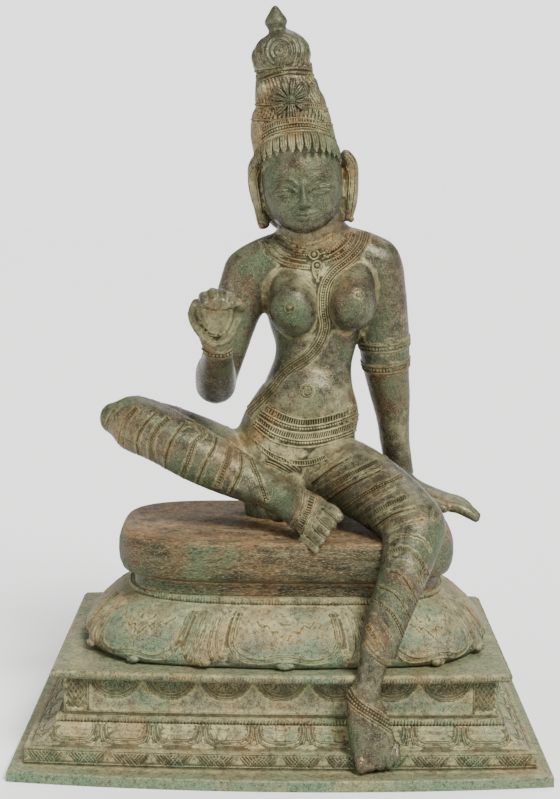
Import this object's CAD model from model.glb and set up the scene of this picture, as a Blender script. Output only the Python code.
import math

import bmesh
import bpy
import numpy as np
from mathutils import Matrix, Vector
from mathutils.bvhtree import BVHTree
from mathutils.kdtree import KDTree


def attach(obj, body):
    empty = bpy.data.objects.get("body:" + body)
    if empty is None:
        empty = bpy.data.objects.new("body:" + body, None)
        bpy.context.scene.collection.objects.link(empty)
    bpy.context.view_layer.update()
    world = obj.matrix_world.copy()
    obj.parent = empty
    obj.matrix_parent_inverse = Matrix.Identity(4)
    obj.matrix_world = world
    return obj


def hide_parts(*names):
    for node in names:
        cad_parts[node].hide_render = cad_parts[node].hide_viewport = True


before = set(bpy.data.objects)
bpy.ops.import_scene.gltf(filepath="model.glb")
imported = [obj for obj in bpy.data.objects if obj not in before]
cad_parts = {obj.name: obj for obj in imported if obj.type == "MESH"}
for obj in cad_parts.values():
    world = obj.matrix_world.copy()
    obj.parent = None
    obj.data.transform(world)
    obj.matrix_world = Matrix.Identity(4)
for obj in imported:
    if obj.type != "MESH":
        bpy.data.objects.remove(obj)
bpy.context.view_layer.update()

# A seated goddess in cast bronze on a lotus seat and stepped plinth. Stations and sizes are in
# millimetres, scaled by mm when a mesh is made. She faces -Y, and her right hand is on the -X side.
mm = 0.001
coarse = 1.0

cameraView = {"place": (-0.004, -1.932, 0.614), "tip": 7.72, "roll": 0.6, "lens": 83.35, "sensor": 36.0}
photoWidth, photoHeight = 560, 799

cameraTurn = Matrix.Rotation(math.radians(90 - cameraView["tip"]), 4, "X")
cameraTurn @= Matrix.Rotation(math.radians(cameraView["roll"]), 4, "Z")
cameraPlace = Vector(cameraView["place"])
camera = bpy.data.objects.new("photoCamera", bpy.data.cameras.new("photoCamera"))
camera.matrix_world = Matrix.Translation(cameraPlace) @ cameraTurn
camera.data.lens = cameraView["lens"]
camera.data.sensor_width = cameraView["sensor"]
camera.data.clip_start = 0.01
bpy.context.scene.collection.objects.link(camera)
bpy.context.scene.camera = camera
print("camera placed")


# Forms: each is (points, faces) in millimetres, closed.

def splineThrough(stations, steps):
    # more stations on the Catmull-Rom curve through the given ones
    s = np.array(stations, float)
    if steps < 2:
        return s
    ends = np.vstack([s[:1], s, s[-1:]])
    out = []
    for i in range(len(s) - 1):
        a, b, c, d = ends[i : i + 4]
        for k in range(steps):
            t = k / steps
            bend = (2 * a - 5 * b + 4 * c - d) * t * t + (3 * b - a - 3 * c + d) * t**3
            out.append(0.5 * (2 * b + (c - a) * t + bend))
    return np.array([*out, s[-1]])


def unit(rows):
    return rows / np.maximum(np.linalg.norm(rows, axis=-1, keepdims=True), 1e-12)


def withDomes(path):
    # closes each end of a limb with rings that shrink on a quarter circle
    rings = 4
    out = [path]
    for end, inner in ((0, 1), (-1, -2)):
        away = unit(path[end, :3] - path[inner, :3])
        reach = min(path[end, 3:5])
        dome = []
        for k in range(1, rings + 1):
            turn = math.pi / 2 * k / (rings + 0.3)
            at = path[end, :3] + away * reach * math.sin(turn)
            dome.append([*at, *(path[end, 3:5] * math.cos(turn))])
        out = [np.array(dome[::-1]), *out] if end == 0 else [*out, np.array(dome)]
    return np.vstack(out)


def shell(rings, loop=False):
    # a closed skin through rings of points, shaped (rings, sides, 3); loop joins the last ring to the first
    rows, sides = rings.shape[:2]
    i = np.arange(rows if loop else rows - 1)[:, None]
    k = np.arange(sides)[None, :]
    low, high, beside = i * sides, (i + 1) % rows * sides, (k + 1) % sides
    faces = np.stack([low + k, low + beside, high + beside, high + k], -1).reshape(-1, 4).tolist()
    if not loop:
        faces += [list(range(sides))[::-1], list(range((rows - 1) * sides, rows * sides))]
    return rings.reshape(-1, 3), faces


def planPoint(half, turn, power):
    # a point of a rounded rectangle; power 2 is an ellipse
    c, s = np.cos(turn), np.sin(turn)
    return np.sign(c) * np.abs(c) ** (2 / power) * half[0], np.sign(s) * np.abs(s) ** (2 / power) * half[1]


def limb(stations, sides, steps=3, across=(1, 0, 0), power=2.0, domes=True):
    # a loft through (x, y, z, half width, half depth); across is the width's direction
    path = splineThrough(stations, steps)
    path = withDomes(path) if domes else path
    centres = path[:, :3]
    along = unit(np.vstack([centres[1:], centres[-1:]]) - np.vstack([centres[:1], centres[:-1]]))
    across = np.array(across, float)
    wide = unit(across - along * (along @ across)[:, None])
    deep = np.cross(along, wide)
    turn = 2 * math.pi * np.arange(sides) / sides
    u, v = planPoint((path[:, 3:4], path[:, 4:5]), turn, power)
    return shell(centres[:, None] + wide[:, None] * u[..., None] + deep[:, None] * v[..., None])


def ball(centre, radii, turn=0.0, about="Y", sides=24, rings=16):
    lat = math.pi * ((np.arange(rings) + 0.5) / rings - 0.5)
    lon = 2 * math.pi * np.arange(sides) / sides
    wide = np.cos(lat)[:, None]
    ring = np.stack(np.broadcast_arrays(wide * np.cos(lon), wide * np.sin(lon), np.sin(lat)[:, None]), -1)
    turned = np.array(Matrix.Rotation(math.radians(turn), 3, about))
    points, faces = shell(ring * np.array(radii, float))
    return points @ turned.T + np.array(centre, float), faces


def hoop(path, radius):
    # a round tube along a closed line of points
    path = np.array(path, float)
    along = unit(np.roll(path, -1, 0) - np.roll(path, 1, 0))
    one = unit(np.cross(along, (0.2, -0.3, 1.0)))
    two = np.cross(along, one)
    turn = (2 * math.pi * np.arange(8) / 8)[None, :, None]
    return shell(
        path[:, None] + (one[:, None] * np.cos(turn) + two[:, None] * np.sin(turn)) * radius, True
    )


def gathered(forms):
    points, faces, start = [], [], 0
    for more, sides in forms:
        points.append(more)
        faces += [[i + start for i in f] for f in sides]
        start += len(more)
    return np.vstack(points), faces


def linked(name, data):
    # a new object in the scene
    made = bpy.data.objects.new(name, data)
    bpy.context.scene.collection.objects.link(made)
    return made


def meshObject(name, form):
    points, faces = form
    mesh = bpy.data.meshes.new(name)
    mesh.from_pydata((np.asarray(points) * mm).tolist(), [], faces)
    bm = bmesh.new()
    bm.from_mesh(mesh)
    bmesh.ops.recalc_face_normals(bm, faces=bm.faces)
    bm.to_mesh(mesh)
    bm.free()
    return linked(name, mesh)


def settled(target):
    # the object's mesh becomes what its modifiers make of it
    graph = bpy.context.evaluated_depsgraph_get()
    mesh = bpy.data.meshes.new_from_object(target.evaluated_get(graph))
    target.modifiers.clear()
    old = target.data
    target.data = mesh
    bpy.data.meshes.remove(old)
    mesh.name = target.name
    return target


def numbersOf(items, name, width, kind=np.float32):
    # one property of every vertex or edge, as rows of numbers
    out = np.empty(len(items) * width, kind)
    items.foreach_get(name, out)
    return out.reshape(-1, width)


def pointsOf(target):
    return numbersOf(target.data.vertices, "co", 3).astype(float) / mm


def setPoints(target, points):
    target.data.vertices.foreach_set("co", (points * mm).astype(np.float32).ravel())
    target.data.update()


def normalsOf(target):
    return numbersOf(target.data.vertex_normals, "vector", 3).astype(float)


def relaxed(target, values, rounds):
    # values at the vertices, averaged with their neighbours over the mesh's edges
    a, b = numbersOf(target.data.edges, "vertices", 2, np.int32).T
    count = len(target.data.vertices)
    near = np.maximum(np.bincount(a, minlength=count) + np.bincount(b, minlength=count), 1)
    for _ in range(rounds):
        total = np.stack([np.bincount(a, v[b], count) + np.bincount(b, v[a], count) for v in values.T], 1)
        values = 0.5 * values + 0.5 * total / near[:, None]
    return values


dustPlaces = [    # (centre, reach, share) in mm: where earth lies thick and where hands have rubbed it off
    ((38, -20, 482), 34, 0.6), ((40, -14, 445), 20, 0.5), ((9, -44, 449), 25, -0.8),
    ((70, -44, 454), 25, -0.85), ((25, -25, 356), 30, -0.35), ((20, -20, 318), 48, 1.05),
    ((-24, -10, 300), 28, 0.8), ((-12, -22, 398), 28, -0.9), ((60, -10, 400), 16, -0.6),
    ((112, 10, 470), 38, -0.35), ((35, 0, 508), 24, 0.4), ((17, -36, 566), 40, -1.1),
    ((2, -10, 640), 48, 0.55), ((3, -25, 663), 20, -1.1), ((-6, 0, 713), 27, -0.75),
    ((-12, 9, 748), 14, -0.9), ((-30, 10, 572), 17, 0.7), ((66, 10, 577), 19, 0.7),
    ((8, -46, 613), 13, 0.6), ((-20, -36, 608), 11, 0.5), ((42, -32, 610), 11, 0.5),
    ((118, 58, 335), 34, 0.1), ((-72, -10, 372), 30, -0.2), ((-67, -118, 442), 24, 0.75),
    ((-112, -34, 318), 36, -0.4), ((-60, -60, 300), 34, 0.1), ((26, -118, 246), 26, 0.05),
    ((100, -78, 262), 40, -0.35), ((112, -165, 185), 32, -0.3), ((86, -196, 44), 34, -0.3),
    ((190, 50, 232), 26, 0.3),
]


def storeValues(target, name, values):
    # one number for each point, which the materials read
    kept = target.data.attributes.new(name, "FLOAT", "POINT")
    kept.data.foreach_set("value", values.astype(np.float32))


def placedDust(target):
    points = pointsOf(target)
    away = [
        (np.linalg.norm(points - np.array(centre), axis=1) / reach, share)
        for centre, reach, share in dustPlaces
    ]
    return sum(share * np.exp(-(near**2)) for near, share in away)


def hollows(target):
    # how deep in a hollow each point lies, from -1 on a ridge to 1 in a crease; dust gathers by it
    points, normals = pointsOf(target), normalsOf(target)
    out = 0
    # (rounds of averaging, mm of depth that count in full, share): fine lines, then broad folds
    for rounds, depth, share in ((4, 0.085, 0.6), (40, 2.4, 0.4)):
        sunk = ((relaxed(target, points, rounds) - points) * normals).sum(1)
        out = out + np.clip(sunk / depth, -1, 1) * share
    return out


def smoothShaded(target, angle):
    target.data.shade_smooth()
    target.data.set_sharp_from_angle(angle=math.radians(angle))


# Node trees.

def addNode(tree, kind, settings=None, inputs=None):
    node = tree.nodes.new(kind)
    for name, value in (settings or {}).items():
        setattr(node, name, value)
    for key, value in (inputs or {}).items():
        if isinstance(value, bpy.types.NodeSocket):
            tree.links.new(value, node.inputs[key])
        else:
            node.inputs[key].default_value = value
    return node


def addSteps(tree, step, rows):
    # adds a node for each row of (label, node, settings, inputs); a text input is the step so labelled
    result = {"ShaderNodeMix": "Result", "FunctionNodeRandomValue": "Value"}
    for label, kind, settings, inputs in rows:
        inputs = {key: step[value] if isinstance(value, str) else value for key, value in inputs.items()}
        step[label] = addNode(tree, kind, settings, inputs).outputs[result.get(kind, 0)]


def newTree(name, inputs):
    # a geometry tree with named number inputs; returns it and its first steps
    tree = bpy.data.node_groups.new(name, "GeometryNodeTree")
    tree.interface.new_socket("Geometry", in_out="INPUT", socket_type="NodeSocketGeometry")
    tree.interface.new_socket("Geometry", in_out="OUTPUT", socket_type="NodeSocketGeometry")
    for label, value in inputs.items():
        kind = "NodeSocketInt" if isinstance(value, int) else "NodeSocketFloat"
        tree.interface.new_socket(label, in_out="INPUT", socket_type=kind).default_value = value
    source = tree.nodes.new("NodeGroupInput").outputs
    return tree, {label: source[label] for label in ("Geometry", *inputs)}


def endTree(tree, geometry, finish):
    real = addNode(tree, "GeometryNodeRealizeInstances", None, {0: geometry})
    painted = addNode(tree, "GeometryNodeSetMaterial", None, {0: real.outputs[0], "Material": finish})
    addNode(tree, "NodeGroupOutput", None, {0: painted.outputs[0]})
    return tree


def grown(target, tree, values):
    # runs a geometry tree on an object with these input values and keeps the plain mesh
    step = target.modifiers.new("grow", "NODES")
    step.node_group = tree
    for item in tree.interface.items_tree:
        if item.item_type == "SOCKET" and item.in_out == "INPUT" and item.name in values:
            step[item.identifier] = values[item.name]
    return settled(target)


def hexColour(text):
    # an sRGB hex colour as linear RGBA
    parts = [int(text[i : i + 2], 16) / 255 for i in (1, 3, 5)]
    return (*[c / 12.92 if c <= 0.04045 else ((c + 0.055) / 1.055) ** 2.4 for c in parts], 1.0)


# Materials. The bronze is sand-coloured dust and mineral patina over a dark cast alloy: the raised
# places are rubbed bare and glint, the hollows are dull with tan earth, and green salts lie in patches.

def castBronze(name, look):
    made = bpy.data.materials.new(name)
    made.use_nodes = True
    tree = made.node_tree
    shader = tree.nodes["Principled BSDF"]
    texture, maths = "ShaderNodeTexNoise", "ShaderNodeMath"
    ramp, blend = "ShaderNodeMapRange", "ShaderNodeMix"
    smooth, colour = {"interpolation_type": "SMOOTHSTEP"}, {"data_type": "RGBA"}
    times, plus = {"operation": "MULTIPLY"}, {"operation": "ADD", "use_clamp": True}
    names = ("alloy", "rubbed", "brown", "green", "dust", "rust", "light", "dark", "crease")
    shades = {key: hexColour(look[key]) for key in names}
    wide = {"Vector": "spot", "Detail": 4, "Roughness": 0.6}
    rows = [
        ("patches", texture, {}, {**wide, "Scale": look["patchScale"], "Distortion": 0.6}),
        ("drifts", texture, {}, {**wide, "Scale": look["driftScale"]}),
        ("grainSpot", "ShaderNodeVectorMath", {"operation": "MULTIPLY"}, {0: "spot", 1: look["stretch"]}),
        ("clouds", texture, {}, {"Vector": "grainSpot", "Scale": 85, "Detail": 5, "Roughness": 0.65}),
        ("mottle", texture, {}, {"Vector": "grainSpot", "Scale": 260, "Detail": 3, "Roughness": 0.6}),
        ("speckle", texture, {}, {"Vector": "grainSpot", "Scale": 900, "Detail": 3, "Roughness": 0.7}),
        # the bare alloy, browner and greener in drifts
        ("bareShare", ramp, smooth, {"Value": "clouds", 1: 0.35, 2: 0.65}),
        ("bare", blend, colour, {"Factor": "bareShare", "A": shades["alloy"], "B": shades["rubbed"]}),
        ("brownDrift", ramp, smooth, {"Value": "drifts", 1: 0.44, 2: 0.6, 4: look["brownShare"]}),
        ("unrubbed", ramp, {}, {"Value": "placed", 1: -0.8, 2: 0.0, 3: 0.2}),
        ("brownLeft", maths, times, {0: "brownDrift", 1: "unrubbed"}),
        ("browned", blend, colour, {"Factor": "brownLeft", "A": "bare", "B": shades["brown"]}),
        ("salts", ramp, smooth, {"Value": "patches", 1: 0.46, 2: 0.64}),
        ("thinSalts", ramp, smooth, {"Value": "clouds", 1: 0.5, 2: 0.75, 4: 0.35}),
        ("edgeSalts", ramp, smooth, {"Value": "hollow", 1: -0.25, 2: -0.7, 4: look["edgeSalts"]}),
        ("handledSalts", ramp, smooth, {"Value": "placed", 1: -0.3, 2: -0.9, 4: 0.6}),
        ("someSalts", maths, plus, {0: "salts", 1: "thinSalts"}),
        ("moreSalts", maths, plus, {0: "someSalts", 1: "handledSalts"}),
        ("allSalts", maths, plus, {0: "moreSalts", 1: "edgeSalts"}),
        ("greenShare", maths, times, {0: "allSalts", 1: look["greenShare"]}),
        ("greened", blend, colour, {"Factor": "greenShare", "A": "browned", "B": shades["green"]}),
        # tan earth in the hollows and on what faces up
        ("inHollows", ramp, smooth, {"Value": "hollow", 1: look["dustFrom"][0], 2: look["dustFrom"][1]}),
        ("onTop", ramp, smooth, {"Value": "facing", 1: 0.25, 2: 1.0, 4: look["topDust"]}),
        ("driftDust", ramp, smooth, {"Value": "patches", 1: 0.5, 2: 0.32, 4: look["driftDust"]}),
        ("settledDust", maths, plus, {0: "inHollows", 1: "onTop"}),
        ("driftedDust", maths, plus, {0: "settledDust", 1: "driftDust"}),
        ("lying", maths, plus, {0: "driftedDust", 1: "placed"}),
        ("broken", ramp, smooth, {"Value": "clouds", 1: 0.36, 2: 0.66, 3: 0.45}),
        ("earth", maths, times, {0: "lying", 1: "broken"}),
        ("rustShare", ramp, smooth, {"Value": "drifts", 1: 0.5, 2: 0.64}),
        ("earthTone", blend, colour, {"Factor": "rustShare", "A": shades["dust"], "B": shades["rust"]}),
        ("dusty", blend, colour, {"Factor": "earth", "A": "greened", "B": "earthTone"}),
        ("blotch", ramp, smooth, {"Value": "mottle", 1: 0.52, 2: 0.34, 4: look["grain"] * 1.3}),
        ("blotched", blend, colour, {"Factor": "blotch", "A": "dusty", "B": shades["dark"]}),
        ("lightGrain", ramp, smooth, {"Value": "speckle", 1: 0.53, 2: 0.7, 4: look["grain"]}),
        ("grained", blend, colour, {"Factor": "lightGrain", "A": "blotched", "B": shades["light"]}),
        ("darkGrain", ramp, smooth, {"Value": "speckle", 1: 0.5, 2: 0.32, 4: look["grain"] * 1.8}),
        ("speckled", blend, colour, {"Factor": "darkGrain", "A": "grained", "B": shades["dark"]}),
        ("deep", ramp, smooth, {"Value": "hollow", 1: 0.55, 2: 1.0, 4: look["creaseDark"]}),
        ("shown", blend, colour, {"Factor": "deep", "A": "speckled", "B": shades["crease"]}),
        # dust and salts are dull, the rest has the sheen of rubbed metal
        ("dull", maths, {"operation": "MAXIMUM"}, {0: "earth", 1: "greenShare"}),
        ("metal", ramp, {}, {"Value": "dull", 3: look["metal"], 4: look["metal"] * 0.3}),
        ("plainRough", ramp, {}, {"Value": "dull", 3: look["roughness"][0], 4: look["roughness"][1]}),
        ("roughShare", ramp, {}, {"Value": "speckle", 3: -0.12, 4: 0.12}),
        ("rough", maths, plus, {0: "plainRough", 1: "roughShare"}),
        # a sand-moulded skin: soft dents of some 8 mm, pits of 1 to 2 mm
        ("dentHeight", texture, {}, {"Vector": "spot", "Scale": 130, "Detail": 3}),
        (
            "dents", "ShaderNodeBump", {},
            {"Strength": look["dents"], "Distance": 0.002, "Height": "dentHeight"}
        ),
        ("pitHeight", texture, {}, {"Vector": "spot", "Scale": 780, "Detail": 4, "Roughness": 0.7}),
        (
            "pitted", "ShaderNodeBump", {},
            {"Strength": look["pitted"], "Distance": 0.0008, "Height": "pitHeight", "Normal": "dents"}
        ),
    ]
    turned = addNode(tree, "ShaderNodeNewGeometry").outputs["Normal"]
    step = {
        "spot": addNode(tree, "ShaderNodeTexCoord").outputs["Object"],
        "hollow": addNode(tree, "ShaderNodeAttribute", {"attribute_name": "hollow"}).outputs["Fac"],
        "placed": addNode(tree, "ShaderNodeAttribute", {"attribute_name": "placedDust"}).outputs["Fac"],
        "facing": addNode(tree, "ShaderNodeSeparateXYZ", None, {0: turned}).outputs["Z"],
    }
    addSteps(tree, step, rows)
    # tarnish keeps the grazing edges dark
    shader.inputs["Specular Tint"].default_value = hexColour(look["edgeTint"])
    shader.inputs["Specular IOR Level"].default_value = look["gloss"]
    for socket, label in (
        ("Base Color", "shown"), ("Metallic", "metal"), ("Roughness", "rough"), ("Normal", "pitted")
    ):
        tree.links.new(step[label], shader.inputs[socket])
    return made


figureLook = {
    "alloy": "#36342B", "rubbed": "#5B5846", "brown": "#544433", "green": "#3F4D36", "dust": "#9C956D",
    "rust": "#977C51",
    "light": "#B5AF88", "dark": "#0B0A07", "crease": "#120E08", "stretch": (1, 1, 1),
    "patchScale": 14.0, "driftScale": 24.0, "greenShare": 0.8, "brownShare": 0.65, "edgeSalts": 0.0,
    "topDust": 0.15, "driftDust": 0.35, "dustFrom": (0.1, 0.9), "grain": 0.3,
    "edgeTint": "#76746A", "gloss": 0.4,
    "creaseDark": 0.85, "metal": 0.45, "roughness": (0.24, 0.64), "dents": 0.13, "pitted": 0.4,
}
trimLook = {
    **figureLook, "alloy": "#4A4531", "rubbed": "#716C50", "brown": "#5C4B36", "green": "#515A41",
    "greenShare": 0.4,
    "metal": 0.36, "roughness": (0.42, 0.7),
}
plinthLook = {
    **figureLook, "alloy": "#49463A", "rubbed": "#6E6B55", "brown": "#736346", "green": "#567056",
    "dust": "#9D966C", "rust": "#96835A", "crease": "#2A261B",
    "patchScale": 13.0, "greenShare": 0.7, "brownShare": 0.65, "edgeSalts": 0.7, "topDust": 0.45,
    "driftDust": 0.4, "creaseDark": 0.75,
    "dustFrom": (-0.1, 0.8), "grain": 0.36, "metal": 0.3, "roughness": (0.45, 0.78),
}
seatLook = {
    **plinthLook, "alloy": "#2E2B20", "rubbed": "#4C4734", "brown": "#58452F", "green": "#46573F",
    "dust": "#8B7150", "rust": "#896948", "greenShare": 0.55,
    "edgeSalts": 0.1, "topDust": 0.75, "driftDust": 0.15, "dents": 0.4, "pitted": 0.8,
    "stretch": (0.35, 0.35, 2.2), "grain": 0.4,
}


finishes = {
    "figure": castBronze("patinated cast bronze", figureLook),
    "trim": castBronze("chased cast bronze", trimLook),
    "plinth": castBronze("weathered cast bronze", plinthLook),
    "seat": castBronze("chiselled cast bronze", seatLook),
}
print("finishes made")


# Trees for what follows a line: raised cords, and rows of beads or milled ridges.

def cordTree(finish):
    tree, step = newTree("raisedCords", {"Cord Radius": 0.0008, "Cord Sides": 6})
    addSteps(tree, step, [
        ("line", "GeometryNodeMeshToCurve", {}, {0: "Geometry"}),
        (
            "profile", "GeometryNodeCurvePrimitiveCircle", {},
            {"Resolution": "Cord Sides", "Radius": "Cord Radius"}
        ),
        (
            "tube", "GeometryNodeCurveToMesh", {},
            {"Curve": "line", "Profile Curve": "profile", "Fill Caps": True}
        ),
    ])
    return endTree(tree, step["tube"], finish)


def beadTree(finish):
    sizes = {"Pitch": 0.003, "Bead Radius": 0.0012, "Bead Height": 0.0012, "Bead Slant": 0.0}
    tree, step = newTree("beadRows", {**sizes, "Size Jitter": 0.12, "Seed": 4})
    radius = {"X": "Bead Radius", "Y": "Bead Radius"}
    placed = {"Points": "even", "Instance": "bead", "Rotation": "slant", "Scale": "scale"}
    addSteps(tree, step, [
        ("line", "GeometryNodeMeshToCurve", {}, {0: "Geometry"}),
        ("even", "GeometryNodeResampleCurve", {"mode": "LENGTH"}, {"Curve": "line", "Length": "Pitch"}),
        ("bead", "GeometryNodeMeshUVSphere", {}, {"Segments": 8, "Rings": 6, "Radius": 1.0}),
        ("size", "ShaderNodeCombineXYZ", {}, {**radius, "Z": "Bead Height"}),
        ("slant", "ShaderNodeCombineXYZ", {}, {"Y": "Bead Slant"}),
        ("least", "ShaderNodeMath", {"operation": "SUBTRACT"}, {0: 1.0, 1: "Size Jitter"}),
        (
            "share", "FunctionNodeRandomValue", {"data_type": "FLOAT"},
            {"Min": "least", "Max": 1.0, "Seed": "Seed"}
        ),
        ("scale", "ShaderNodeVectorMath", {"operation": "SCALE"}, {0: "size", "Scale": "share"}),
        ("row", "GeometryNodeInstanceOnPoints", {}, placed),
    ])
    return endTree(tree, step["row"], finish)


cordTrees = {place: cordTree(finishes[place]) for place in ("figure", "plinth")}
beadTrees = {place: beadTree(finishes[place]) for place in ("figure", "plinth")}
ornaments = {"figure": [], "plinth": []}    # the grown meshes, joined into one piece each at the end


def polylines(name, lines):
    # an object of bare edges along lines of points in millimetres; a line that ends where it starts is a loop
    points, edges, start = [], [], 0
    for line in lines:
        line = np.array(line, float)
        loop = len(line) > 3 and np.linalg.norm(line[0] - line[-1]) < 1e-6
        line = line[:-1] if loop else line
        count = len(line)
        points.append(line)
        edges += [(start + i, start + (i + 1) % count) for i in range(count if loop else count - 1)]
        start += count
    mesh = bpy.data.meshes.new(name)
    mesh.from_pydata((np.vstack(points) * mm).tolist(), edges, [])
    return linked(name, mesh)


def layCords(place, lines, radius, sides=6):
    if lines:
        values = {"Cord Radius": radius * mm, "Cord Sides": sides}
        ornaments[place].append(grown(polylines("cords", lines), cordTrees[place], values))


def layBeads(place, lines, pitch, radius, height=None, slant=0.0):
    if lines:
        values = {"Pitch": pitch * mm, "Bead Radius": radius * mm, "Bead Height": (height or radius) * mm}
        values["Bead Slant"] = slant
        ornaments[place].append(grown(polylines("beads", lines), beadTrees[place], values))


# Stepped plinth: tiers as (half width, half depth, height, bow of front and back), from the floor up.
plinthSizes = {
    "seatCentre": (4.0, -20.0), "half": (252, 173), "columnPitch": 1.6, "rowPitch": 1.7,
    "petalPitch": 53.0, "medallionPitch": 53.0,
    "tiers": [
        (267, 196, 0, 22), (267, 196, 9.5, 22), (265.5, 194.5, 11, 22), (252.5, 173, 11.2, 12),
        (252.5, 173, 27, 12), (246.5, 167, 27.3, 12), (245, 166, 30, 9), (236.3, 160.5, 34.2, 7.6),
        (229.7, 156.4, 38.5, 6.7), (225.3, 153.7, 42.7, 6.2), (223.5, 152.5, 47, 6), (221, 152, 48, 6),
        (222.5, 153.5, 50.5, 6), (221, 152, 54, 6), (216, 148, 54.3, 6), (216, 148, 94, 6),
        (225, 159.5, 94.3, 14), (227, 161.5, 97, 14), (227, 161.5, 100.5, 14), (224.5, 159, 103, 14),
    ],
}


def boxColumns(across, deep):
    # outline of a rectangle in shares of its half sizes, evenly spaced, from the front left corner
    corners = [
        ((-1, -1), (1, -1), across), ((1, -1), (1, 1), deep), ((1, 1), (-1, 1), across),
        ((-1, 1), (-1, -1), deep)
    ]
    return np.vstack(
        [np.array(a) + (np.array(b) - a) * (np.arange(n) / n)[:, None] for a, b, n in corners]
    )


def bowed(half, share, z, bow):
    x, y = share[:, 0] * half[0], share[:, 1] * half[1]
    swell = bow * (1 - share[:, 0] ** 2) * np.abs(share[:, 1]) ** 3
    return np.stack([x, y + np.sign(y) * swell, np.full(len(x), float(z))], 1)


def finerRows(tiers, pitch):
    # tiers with rows added between them so that relief has points to stand on
    out = [tiers[0]]
    for low, high in zip(tiers, tiers[1:]):
        low, high = np.array(low, float), np.array(high, float)
        parts = max(
            1, round(np.linalg.norm((high - low)[:3]) / pitch)
        ) if high[2] > 11 and abs(high[2] - low[2]) > 1 else 1
        out += [tuple(low + (high - low) * (k + 1) / parts) for k in range(parts)]
    return out


def gridNormals(grid):
    across = np.roll(grid, -1, 1) - np.roll(grid, 1, 1)
    up = np.vstack([grid[1:], grid[-1:]]) - np.vstack([grid[:1], grid[:-1]])
    return unit(np.cross(across, up))


def onGrid(grid, column, row):
    # a point of a built grid between its columns and rows; columns run round
    c0, r0 = int(math.floor(column)), min(max(int(row), 0), len(grid) - 2)
    fc, fr = column - c0, min(max(row - r0, 0.0), 1.0)
    c0, c1 = c0 % grid.shape[1], (c0 + 1) % grid.shape[1]
    low = grid[r0, c0] * (1 - fc) + grid[r0, c1] * fc
    high = grid[r0 + 1, c0] * (1 - fc) + grid[r0 + 1, c1] * fc
    return low * (1 - fr) + high * fr


def petalSwell(along, half, power=4):
    return np.clip(1 - np.abs(along / half) ** power, 0, 1)


def buildSteps():
    size = plinthSizes
    across, deep = [round(2 * half / (size["columnPitch"] * coarse)) for half in size["half"]]
    share = boxColumns(across, deep)
    tiers = finerRows(size["tiers"], size["rowPitch"] * coarse)
    grid = np.stack([bowed((w, d), share, z, bow) for w, d, z, bow in tiers])
    count = grid.shape[1]
    corners = [0, across, across + deep, 2 * across + deep, count]
    heights = grid[:, 0, 2]
    # petals of the lower row swell between their outlines
    normals = gridNormals(grid)
    lift = np.zeros(grid.shape[:2])
    for first, last in zip(corners, corners[1:]):
        length = np.linalg.norm(grid[40, last % count] - grid[40, first])
        petals = round(length / size["petalPitch"])
        t = (np.arange(first, last) - first) / (last - first) * petals
        within = (t % 1.0 - 0.5) * 2
        rise = np.sin(np.pi * np.clip((heights - 29) / 19, 0, 1)) * 2.2
        lift[:, first:last] += petalSwell(within, 0.82)[None] * rise[:, None]
    grid = grid + normals * lift[..., None]
    return grid, corners, heights


stepsGrid, stepsCorners, stepsHeights = buildSteps()
steps = meshObject("steppedPlinth", shell(stepsGrid))
smoothShaded(steps, 38)


def rowAt(z):
    return float(np.interp(z, stepsHeights, np.arange(len(stepsHeights))))


def sideLength(side, z):
    row = rowAt(z)
    first, last = [onGrid(stepsGrid, corner, row) for corner in stepsCorners[side : side + 2]]
    return np.linalg.norm(last - first)


def onStep(side, u, z, out):
    # a point on side 0 to 3 of the plinth, u mm from the side's middle, at height z, raised by out
    first, last = stepsCorners[side], stepsCorners[side + 1]
    at = onGrid(stepsGrid, first + (u / sideLength(side, z) + 0.5) * (last - first), rowAt(z))
    outward = np.array([(0, -1, 0), (1, 0, 0), (0, 1, 0), (-1, 0, 0)][side], float)
    return at + outward * out


def arcLine(centre, radii, start, end, count):
    turns = np.radians(np.linspace(start, end, count))
    return [(centre[0] + radii[0] * math.cos(t), centre[1] + radii[1] * math.sin(t)) for t in turns]


def medallionMotif():
    # a hanging half disc: double rim, and a spray of leaves from its middle, in mm from the slab's edge
    lines = [arcLine((0, 0), (r, r * 0.92), 180, 360, 24) for r in (23.5, 21.5, 18.0)]
    there = [(1, i / 6) for i in range(7)]
    back = [(-1, s) for _, s in there[-2::-1]]
    for turn in (-155, -122, -90, -58, -25):
        t = math.radians(turn)
        tip = np.array([math.cos(t), math.sin(t)]) * 14.5
        side = np.array([-math.sin(t), math.cos(t)]) * 3.1
        lines.append([tuple(tip * s + side * math.sin(math.pi * s) * k) for k, s in there + back])
    for turn in (-138, -106, -74, -42):
        t = math.radians(turn)
        lines.append(arcLine((11 * math.cos(t), 11 * math.sin(t)), (2.2, 2.2), 0, 360, 9))
    return lines


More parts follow.
